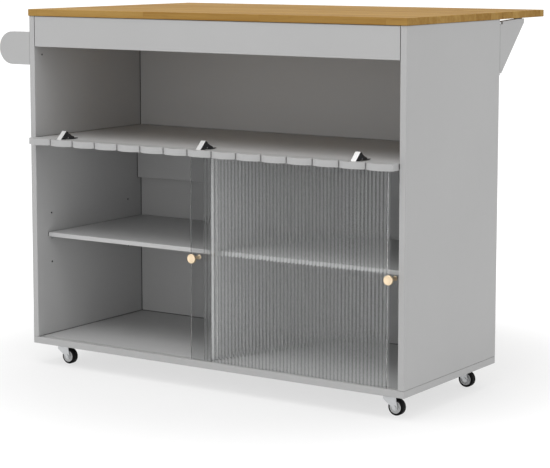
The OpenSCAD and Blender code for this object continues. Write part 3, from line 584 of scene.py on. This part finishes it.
loose = {board: eased(board, body_paint, BOARD_EDGE, SHORTEST_RIDGE)
         for board in LOOSE_BOARDS}

# %% [markdown]
# ## Flutes of the lip
# The lip's front is a row of arches with a fine groove between each two. The picture shows deeper
# valleys than the solid has. The vertices of the front lie on the arches or in the grooves, so they are
# picked by that test and stretched back from the crests, which stay where they are.

# %% Deepen the flutes
FLUTES = 15
FLUTE_DEPTH = 0.008
DEEPER = 1.7
ROUNDED = 0.0013
GROOVE_HALF = 0.006
GROOVE_DEPTH = 0.0135


def deepen_flutes(lip):
    """Draws the valleys and grooves between the flutes further back, and leaves the crests in place."""
    low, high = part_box("fluted_lip")
    pitch = (high.x - low.x) / FLUTES
    radius = arch_radius(pitch, FLUTE_DEPTH)

    def on_front(co):
        off = min(abs((co.x - low.x) / pitch % 1 - 0.5) * pitch, pitch / 2)
        back, arch = co.y - low.y, radius - math.sqrt(radius**2 - off**2)
        groove = off > pitch / 2 - GROOVE_HALF and back < GROOVE_DEPTH
        return groove or back < arch + ROUNDED

    pick_only(lip)
    bpy.ops.object.mode_set(mode="EDIT")
    count = select_verts(lip, on_front)
    crests = {"center_override": (0, low.y, 0), "orient_type": "GLOBAL"}
    bpy.ops.transform.resize(value=(1, DEEPER, 1), **crests)
    bpy.ops.object.mode_set(mode="OBJECT")
    weigh_normals(lip)
    print("vertices on the flutes", count, "of", len(lip.data.vertices))


deepen_flutes(loose["fluted_lip"])

# %% [markdown]
# ## Case boards
# The case boards show their outer skin outside, and the inner one, painted lighter as painted light, on
# the faces that look inward. Where there is no skin, in drilled holes and on hidden ends, the bare board
# is painted near black as painted shade. So each face gets its paint by the way it looks, and a small
# face well inside the board's box belongs to a hole.

# %% Ease the case boards
CASE_BOARDS = {"left_side_panel": (1, 0, 0), "right_side_panel": (-1, 0, 0), "base_board": (0, 0, 1),
               "front_fascia": (0, 1, 0)}
SEAM = 0.0014
HOLE_INSET = 0.0012
HOLE_AREA = 0.00003
# The third slot is bare board, painted near black as painted shade.
OUTER, INNER, BARE_SHADE = 0, 1, 2


def paint_faces(piece, node, inward, bare):
    """Sets the lighter inner paint, as painted light, on faces that look inward, and near-black bare
    board, as painted shade, in drilled holes and on bare ends.
    """
    low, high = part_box(node)
    for material in [inner_lit_paint, shaded_bare_board]:
        piece.data.materials.append(material)
    drilled = 0
    for face in piece.data.polygons:
        inset = min(*(face.center - low), *(high - face.center))
        hole = inset > HOLE_INSET and face.area < HOLE_AREA
        looks_in = face.normal.dot(Vector(inward)) > 0.5
        face.material_index = BARE_SHADE if hole or bare(face.normal) else INNER if looks_in else OUTER
        drilled += hole
    print(node, "drilled faces", drilled)


for board, inward in CASE_BOARDS.items():
    fascia = board == "front_fascia"
    gap = (SEAM, 0, SEAM / 2) if fascia else (0, 0, 0)
    piece = eased(board, body_paint, BOARD_EDGE, SHORTEST_RIDGE, gap)
    paint_faces(piece, board, inward, lambda n: fascia and abs(n.x) > 0.95)

# %% [markdown]
# ## Inner boards
# The back, the shelves, the divider and the rails stop 1.4 mm short of their neighbours, as in a real
# carcass, so that a fine dark joint shows where they meet. Their large faces and front edges get the
# lighter inner paint, as painted light. The thin edges that face sideways, up, down or back are hidden
# in a joint and stay bare, painted near black as painted shade.

# %% Ease the inner boards
INNER_BOARDS = ["back_panel", "middle_shelf", "centre_divider", "rear_top_rail", "back_rails",
                "adjustable_shelf_left", "adjustable_shelf_right"]

for board in INNER_BOARDS:
    gap = (SEAM, SEAM / 2, SEAM)
    piece = eased(board, inner_lit_paint, BOARD_EDGE, SHORTEST_RIDGE, gap)
    low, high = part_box(board)
    thin = min(range(3), key=lambda axis: (high - low)[axis])
    paint_faces(piece, board, (0, 0, 0), lambda n: abs(n[thin]) < 0.95 and n.y > -0.35)

# %% [markdown]
# ## Oak tops
# The worktop and the leaf are sanded by hand, so their edges are a little rounder than a board's. Each
# is one piece of glued oak, and the finish draws its strips.

# %% Ease the oak tops
OAK_EDGE, SHORTEST_OAK_RIDGE = 0.0012, 0.003

for top in ["worktop", "drop_leaf"]:
    eased(top, oak, OAK_EDGE, SHORTEST_OAK_RIDGE)

# %% [markdown]
# ## Metal fittings
# Stamped and turned fittings have smaller radii, from a quarter to half a millimetre. The lip's hinge
# arms are nickel on the slanted plate, and the cheeks at its sides and its back get dark steel as painted
# shade.

# %% Ease the fittings
CASTERS = ["fl", "fr", "bl", "br"]
ZINC_FITTINGS = ["caster_plates"] + ["fork_" + c for c in CASTERS] + ["axle_" + c for c in CASTERS]
STEEL_FITTINGS = ["leaf_hinge_plates", "leaf_hinge_flaps", "left_bracket_pivot", "right_bracket_pivot"]
CAST_EDGE = 0.0004
STAMPED_EDGE = 0.0003
HINGE_EDGE = 0.00025
RAIL_EDGE = 0.0005

for fitting in ZINC_FITTINGS:
    eased(fitting, zinc, CAST_EDGE)
for fitting in STEEL_FITTINGS:
    eased(fitting, zinc, STAMPED_EDGE)
eased("lip_hinge_cups", nickel, HINGE_EDGE)
eased("lip_hinge_bases", dark_steel, HINGE_EDGE)
arms = eased("lip_hinge_arms", nickel, HINGE_EDGE)
# Painted shade: the arms' faces turned to the sides and back get the dark steel.
arms.data.materials.append(dark_steel)
for face in arms.data.polygons:
    face.material_index = int(abs(face.normal.x) > 0.6 or face.normal.y > 0.3)
eased("towel_rail", rail_steel, RAIL_EDGE)

# %% [markdown]
# ## Pieces that keep their CAD shape
# The screws, the pins, the pads and the channels are so small or so hidden that their CAD shapes stay.
# A piece that stays is never moved or changed, and only gets its finish.

# %% Finish the CAD pieces that stay
KEPT_FINISHES = {
    zinc: ["shelf_pins", "leaf_hinge_pins", "leaf_screws", "hinge_screws", "caster_screws",
           "lip_hinge_pins", "left_knob_screw", "right_knob_screw"],
    channel_plastic: ["upper_door_track", "lower_door_track"],
    pad_rubber: ["left_bracket_pad", "right_bracket_pad"],
}
for material, kept in KEPT_FINISHES.items():
    for node in kept:
        nodes[node].data.materials.clear()
        nodes[node].data.materials.append(material)
    print(material.name, "on", len(kept), "pieces")

# %% [markdown]
# ## Spun pieces
# Knobs, tyres and hubs are turned shapes. A ring of vertices is put on the piece's outline, which is
# half of its section, and the spin operator sweeps it once round the axis. Where the outline lies on
# the axis it would sweep to nothing, so that edge is deleted first. The two ends of the sweep meet, so
# they are merged, and then all faces are turned outwards.

# %% Spin an outline
SPUN_WELD = 0.000005
SPUN_SHARP = math.radians(38)


def spun(name, outline, steps=64):
    """Sweeps an outline of (radius, height) points round the Z axis into a closed piece."""
    bpy.ops.mesh.primitive_circle_add(vertices=len(outline), radius=0.01)
    piece = bpy.context.active_object
    piece.name = piece.data.name = name
    for vert, (radius, height) in zip(piece.data.vertices, outline):
        vert.co = (radius, 0.0, height)
    bpy.ops.object.mode_set(mode="EDIT")
    if select_verts(piece, lambda co: co.x < 1e-6):
        bpy.ops.mesh.delete(type="EDGE")
    bpy.ops.mesh.select_all(action="SELECT")
    bpy.ops.mesh.spin(steps=steps, angle=math.tau, center=(0, 0, 0), axis=(0, 0, 1))
    bpy.ops.mesh.select_all(action="SELECT")
    bpy.ops.mesh.remove_doubles(threshold=SPUN_WELD)
    bpy.ops.mesh.normals_make_consistent(inside=False)
    bpy.ops.object.mode_set(mode="OBJECT")
    bpy.ops.object.shade_smooth_by_angle(angle=SPUN_SHARP)
    print(name, len(piece.data.polygons), "faces")
    return piece


def arc(centre, radius, start, end, count):
    """Points on an arc of the outline, with angles in degrees from the radius towards the axis' end."""
    for i in range(count + 1):
        a = math.radians(start + (end - start) * i / count)
        yield (centre[0] + radius * math.cos(a), centre[1] + radius * math.sin(a))


# %% [markdown]
# ## Knobs
# The brass knobs are turned like small trumpets: a thin foot on the glass, a straight neck that flares
# into a head, and a flat face inside a fine raised rim. Both come from one outline, and each copy has
# its own mesh.

# %% Model the knobs
KNOB_LENGTH = 0.034
HEAD_RADIUS = 0.0115
NECK_RADIUS = 0.004
NECK_END = 0.012
HEAD_START = 0.027
RIM = 0.0012
FLARE_STEPS = 8


def knob_outline():
    foot = [(0.0, 0.0), (0.0056, 0.0), (0.006, 0.0004), (0.006, 0.0012), (0.0052, 0.0022),
            (0.0043, 0.0036)]
    flare = []
    for step in range(FLARE_STEPS + 1):
        rise = step / FLARE_STEPS
        radius = NECK_RADIUS + (HEAD_RADIUS - RIM - NECK_RADIUS) * rise**1.5
        flare.append((radius, NECK_END + (HEAD_START - NECK_END) * rise))
    rim = [(HEAD_RADIUS, HEAD_START + 0.001)]
    rim += list(arc((HEAD_RADIUS - RIM, KNOB_LENGTH - RIM), RIM, 0, 90, 5))
    face = [(0.0093, KNOB_LENGTH - 0.0001), (0.0085, KNOB_LENGTH - 0.0006), (0.0, KNOB_LENGTH - 0.0007)]
    return foot + flare + rim + face


for side in ["left", "right"]:
    low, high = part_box(side + "_knob")
    knob = spun(side + "_turned_knob", knob_outline(), 48)
    knob.rotation_euler = (math.pi / 2, 0, 0)
    knob.location = ((low.x + high.x) / 2, high.y, (low.z + high.z) / 2)
    dress(settle(knob), side + "_knob", brass)

# %% [markdown]
# ## Tyres and hubs
# A caster's tyre has a rounded tread and a small step down to its side walls. The hub under it is a
# moulded disc with a boss at the axle and a rim at the tyre, dished between the two. Both are the same
# on the left and the right, so only half of each outline is written down and the rest is its mirror.

# %% Model the wheels
WHEEL_RADIUS = 0.020
HUB_RADIUS = 0.0145
WHEEL_HALF = 0.009
AXLE_BORE = 0.00255
SHOULDER = 0.0030
HUB_DISH = 0.0016


def both_sides(half_outline):
    return half_outline + [(radius, -height) for radius, height in reversed(half_outline)]


def tyre_outline():
    half, wall = WHEEL_HALF, WHEEL_HALF - 0.0006
    bead = [(HUB_RADIUS, half), (HUB_RADIUS + 0.0012, half), (HUB_RADIUS + 0.0018, wall)]
    shoulder = list(arc((WHEEL_RADIUS - SHOULDER, wall - SHOULDER), SHOULDER, 90, 0, 6))
    return both_sides(bead + shoulder)


def hub_outline():
    half, dish = WHEEL_HALF, WHEEL_HALF - HUB_DISH
    boss = [(AXLE_BORE, half + 0.0005), (0.0054, half + 0.0005), (0.0058, half), (0.0061, half - 0.0012)]
    disc = [(0.0070, dish), (0.0108, dish), (0.0116, half - 0.0012), (0.0121, half - 0.0003)]
    return both_sides(boss + disc + [(0.0126, half), (HUB_RADIUS, half)])


for corner in CASTERS:
    rings = [("tyre", tyre_outline(), rubber), ("hub", hub_outline(), hub_plastic)]
    for part, outline, material in rings:
        low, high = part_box(part + "_" + corner)
        ring = spun(part + "_spun_" + corner, outline)
        ring.rotation_euler = (math.pi / 2, 0, 0)
        ring.location = (low + high) / 2
        dress(settle(ring), part + "_" + corner, material)

# %% [markdown]
# ## Sheet of ribs
# One rib is a slice of a tube's wall, cut to the rib's width. An Array modifier lays the ribs side by
# side and merges them into one wavy sheet, as wide and as high as the pane.

# %% Lay the ribs
RIB_COUNT = 55
RIB_HEIGHT = 0.0011
TUBE_SIDES = 96


def rib_sheet(name, low, high):
    """A wavy sheet with its crests at low.y, from low to high."""
    pitch = (high.x - low.x) / RIB_COUNT
    radius = arch_radius(pitch, RIB_HEIGHT)
    centre = Vector((low.x + pitch / 2, low.y + radius, (low.z + high.z) / 2))
    tube = {"vertices": TUBE_SIDES, "radius": radius, "depth": high.z - low.z}
    bpy.ops.mesh.primitive_cylinder_add(location=centre, end_fill_type="NOTHING", **tube)
    piece = bpy.context.active_object
    piece.name = piece.data.name = name
    settle(piece)
    cuts = [((low.x, 0, 0), (-1, 0, 0)), ((low.x + pitch, 0, 0), (1, 0, 0)), (centre, (0, 1, 0))]
    for point, away in cuts:
        bpy.ops.object.mode_set(mode="EDIT")
        bpy.ops.mesh.select_all(action="SELECT")
        bpy.ops.mesh.bisect(plane_co=point, plane_no=away, clear_outer=True)
        bpy.ops.object.mode_set(mode="OBJECT")
    row = {"count": RIB_COUNT, "use_relative_offset": False, "use_constant_offset": True}
    join = {"use_merge_vertices": True, "merge_threshold": 0.00001}
    apply_modifier(piece, "ARRAY", constant_offset_displace=(pitch, 0, 0), **row, **join)
    return piece


# %% [markdown]
# ## Panes
# The band behind each knob is plain, so its ribs are pressed flat against the front, where the knob's
# foot rests. The sheet is then extruded backwards and its back is flattened, which gives a solid pane.

# %% Model the panes
PLAIN_RIBS = {"left": 6, "right": 3}
PANE_WELD = 0.000001
PANE_SHARP = math.radians(50)


def flatten(place):
    """In edit mode, presses what is selected flat against the plane at y = place."""
    plane = {"center_override": (0, place, 0), "orient_type": "GLOBAL"}
    bpy.ops.transform.resize(value=(1, 0, 1), **plane)


def ribbed_pane(name, node, side, band):
    low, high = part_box(node)
    piece = rib_sheet(name, low, high)
    bpy.ops.object.mode_set(mode="EDIT")
    reach = band + 0.00001
    select_verts(piece, lambda co: (co.x - low.x if side == "left" else high.x - co.x) < reach)
    flatten(low.y)
    bpy.ops.mesh.select_all(action="SELECT")
    back = (0, high.y - low.y - RIB_HEIGHT, 0)
    bpy.ops.mesh.extrude_region_move(TRANSFORM_OT_translate={"value": back})
    flatten(high.y)
    bpy.ops.mesh.select_all(action="SELECT")
    bpy.ops.mesh.remove_doubles(threshold=PANE_WELD)
    bpy.ops.mesh.normals_make_consistent(inside=False)
    bpy.ops.object.mode_set(mode="OBJECT")
    bpy.ops.object.shade_smooth_by_angle(angle=PANE_SHARP)
    print(name, len(piece.data.polygons), "faces")
    return piece


for side in ["left", "right"]:
    node = side + "_glass_door"
    low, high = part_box(node)
    pitch = (high.x - low.x) / RIB_COUNT
    band = PLAIN_RIBS[side] * pitch
    ribs = (low.x + band, high.x) if side == "left" else (low.x, high.x - band)
    glass = ribbed_glass(side + "_ribbed_glass", low.x, pitch, ribs)
    dress(ribbed_pane(side + "_ribbed_pane", node, side, band), node, glass)

# %% [markdown]
# ## Floor
# The picture shows the island on white ground with a soft shadow. The floor is pale, and a share of its
# own light is added only for rays that come from the camera, a mirror or a lens. That share grows away
# from the island, so the ground fades into the white backdrop, while the shadow near the wheels stays.

# %% Floor
FLOOR_RADIUS = 70.0
GLOW_SHARE = 0.70
GLOW_NEAR, GLOW_FAR = 0.94, 1.32
FADE_START, FADE_WIDTH = 0.5, 0.55


def seen_directly(shading):
    """A wire that is 1 for rays from the camera and for those seen in metal or through glass."""
    rays = ("Is Camera Ray", "Is Glossy Ray", "Is Transmission Ray")
    camera_ray, glossy, through = [shading.node("ShaderNodeLightPath", output=kind) for kind in rays]
    return camera_ray.math("MAXIMUM", camera_ray.math("MAXIMUM", camera_ray, glossy), through)


bpy.ops.mesh.primitive_circle_add(vertices=64, radius=FLOOR_RADIUS, fill_type="NGON", location=(0, 0, 0))
floor = bpy.context.active_object
floor.name = "floor"
floor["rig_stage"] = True

ground = Finish("pale_floor", grey(0.82), 0.9)
away = ground.node("ShaderNodeVectorMath", {"operation": "LENGTH"}, {0: ground.spot()}, output=1)
rise = away.above(FADE_START, FADE_WIDTH)
strength = GLOW_NEAR + (GLOW_FAR - GLOW_NEAR) * rise * rise
glow = ground.node("ShaderNodeEmission", None, {"Strength": strength})
surface = Wire(ground, ground.shader.outputs[0])
ground.show(ground.blend(GLOW_SHARE * seen_directly(ground), surface, glow))
floor.data.materials.append(ground.material)
print("floor radius", FLOOR_RADIUS)

# %% [markdown]
# ## World
# The world is a white room. It does what the floor does: it is white where it is seen, and a little
# darker where it lights the island, so that pale surfaces keep their tone.

# %% World
WHITE = (1.0, 1.0, 1.0, 1.0)
ROOM_STRENGTH = 0.83

world = bpy.data.worlds.new("studio")
bpy.context.scene.world = world
studio = Shading(world)
room = studio.tree.nodes["Background"]
room.inputs["Color"].default_value = WHITE
room.inputs["Strength"].default_value = ROOM_STRENGTH
backdrop = studio.node("ShaderNodeBackground", None, {"Color": WHITE})
lit_by = Wire(studio, room.outputs[0])
studio.show(studio.blend(seen_directly(studio), lit_by, backdrop), "World Output")
print("world", world.name, "lights with strength", ROOM_STRENGTH)

# %% [markdown]
# ## Lamps
# The white room gives most of the light, and leaves the soft dark ground under the island and in its
# corners. Four large weak softboxes only add what the picture shows on top of it: two overhead for the
# worktop and the fronts of the shelves, one in front, and one on the right for the side panel.

# %% Softboxes
MIDDLE = Vector((0, 0, 0.5))


def softbox(name, place, size, power):
    """A round lamp of size metres and power watts at place, turned towards the island's middle."""
    bpy.ops.object.light_add(type="AREA", location=place)
    lamp = bpy.context.active_object
    lamp.name = name
    lamp.data.shape = "DISK"
    lamp.data.size = size
    lamp.data.energy = power
    lamp.rotation_euler = (MIDDLE - Vector(place)).to_track_quat("-Z", "Y").to_euler()
    print(name, "at", place)


softbox("overhead_softbox", (0.0, -0.5, 4.5), 3.0, 22.0)
softbox("front_overhead_softbox", (0.0, -2.0, 4.2), 3.0, 65.0)
softbox("front_softbox", (0.4, -5.0, 1.2), 2.4, 11.0)
softbox("right_softbox", (4.8, 0.5, 2.2), 2.2, 16.0)

# %% [markdown]
# ## Camera
# The picture was taken from the right front, nearly five metres away, with a long lens. Its upright
# edges are parallel, so the lens was shifted. A small shift and a slight downward tilt come close to
# that and still let other views frame the island.

# %% Camera
LENS = 122.71
SENSOR = 36.0
SHIFT = (0.0187, -0.100)
AZIMUTH = math.radians(34.018)
TILT = math.radians(7.011)
EYE = (2.6605, -3.9387, 1.0673)

camera = bpy.data.objects.new("camera", bpy.data.cameras.new("camera"))
bpy.context.scene.collection.objects.link(camera)
camera.data.lens = LENS
camera.data.sensor_width = SENSOR
camera.data.shift_x, camera.data.shift_y = SHIFT
camera.location = EYE
camera.rotation_euler = (math.pi / 2 - TILT, 0, AZIMUTH)
bpy.context.scene.camera = camera
bpy.context.scene.view_settings.view_transform = "Standard"
print("camera", round(Vector(EYE).length, 2), "m from the island's foot")

# %% [markdown]
# ## Sizes
# Dressing the model mustn't change its size. The dressed model's box is measured now and printed.

# %% Sizes, for comparison
low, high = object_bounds()
print("visual box", [round(v, 4) for v in (*low, *high)])
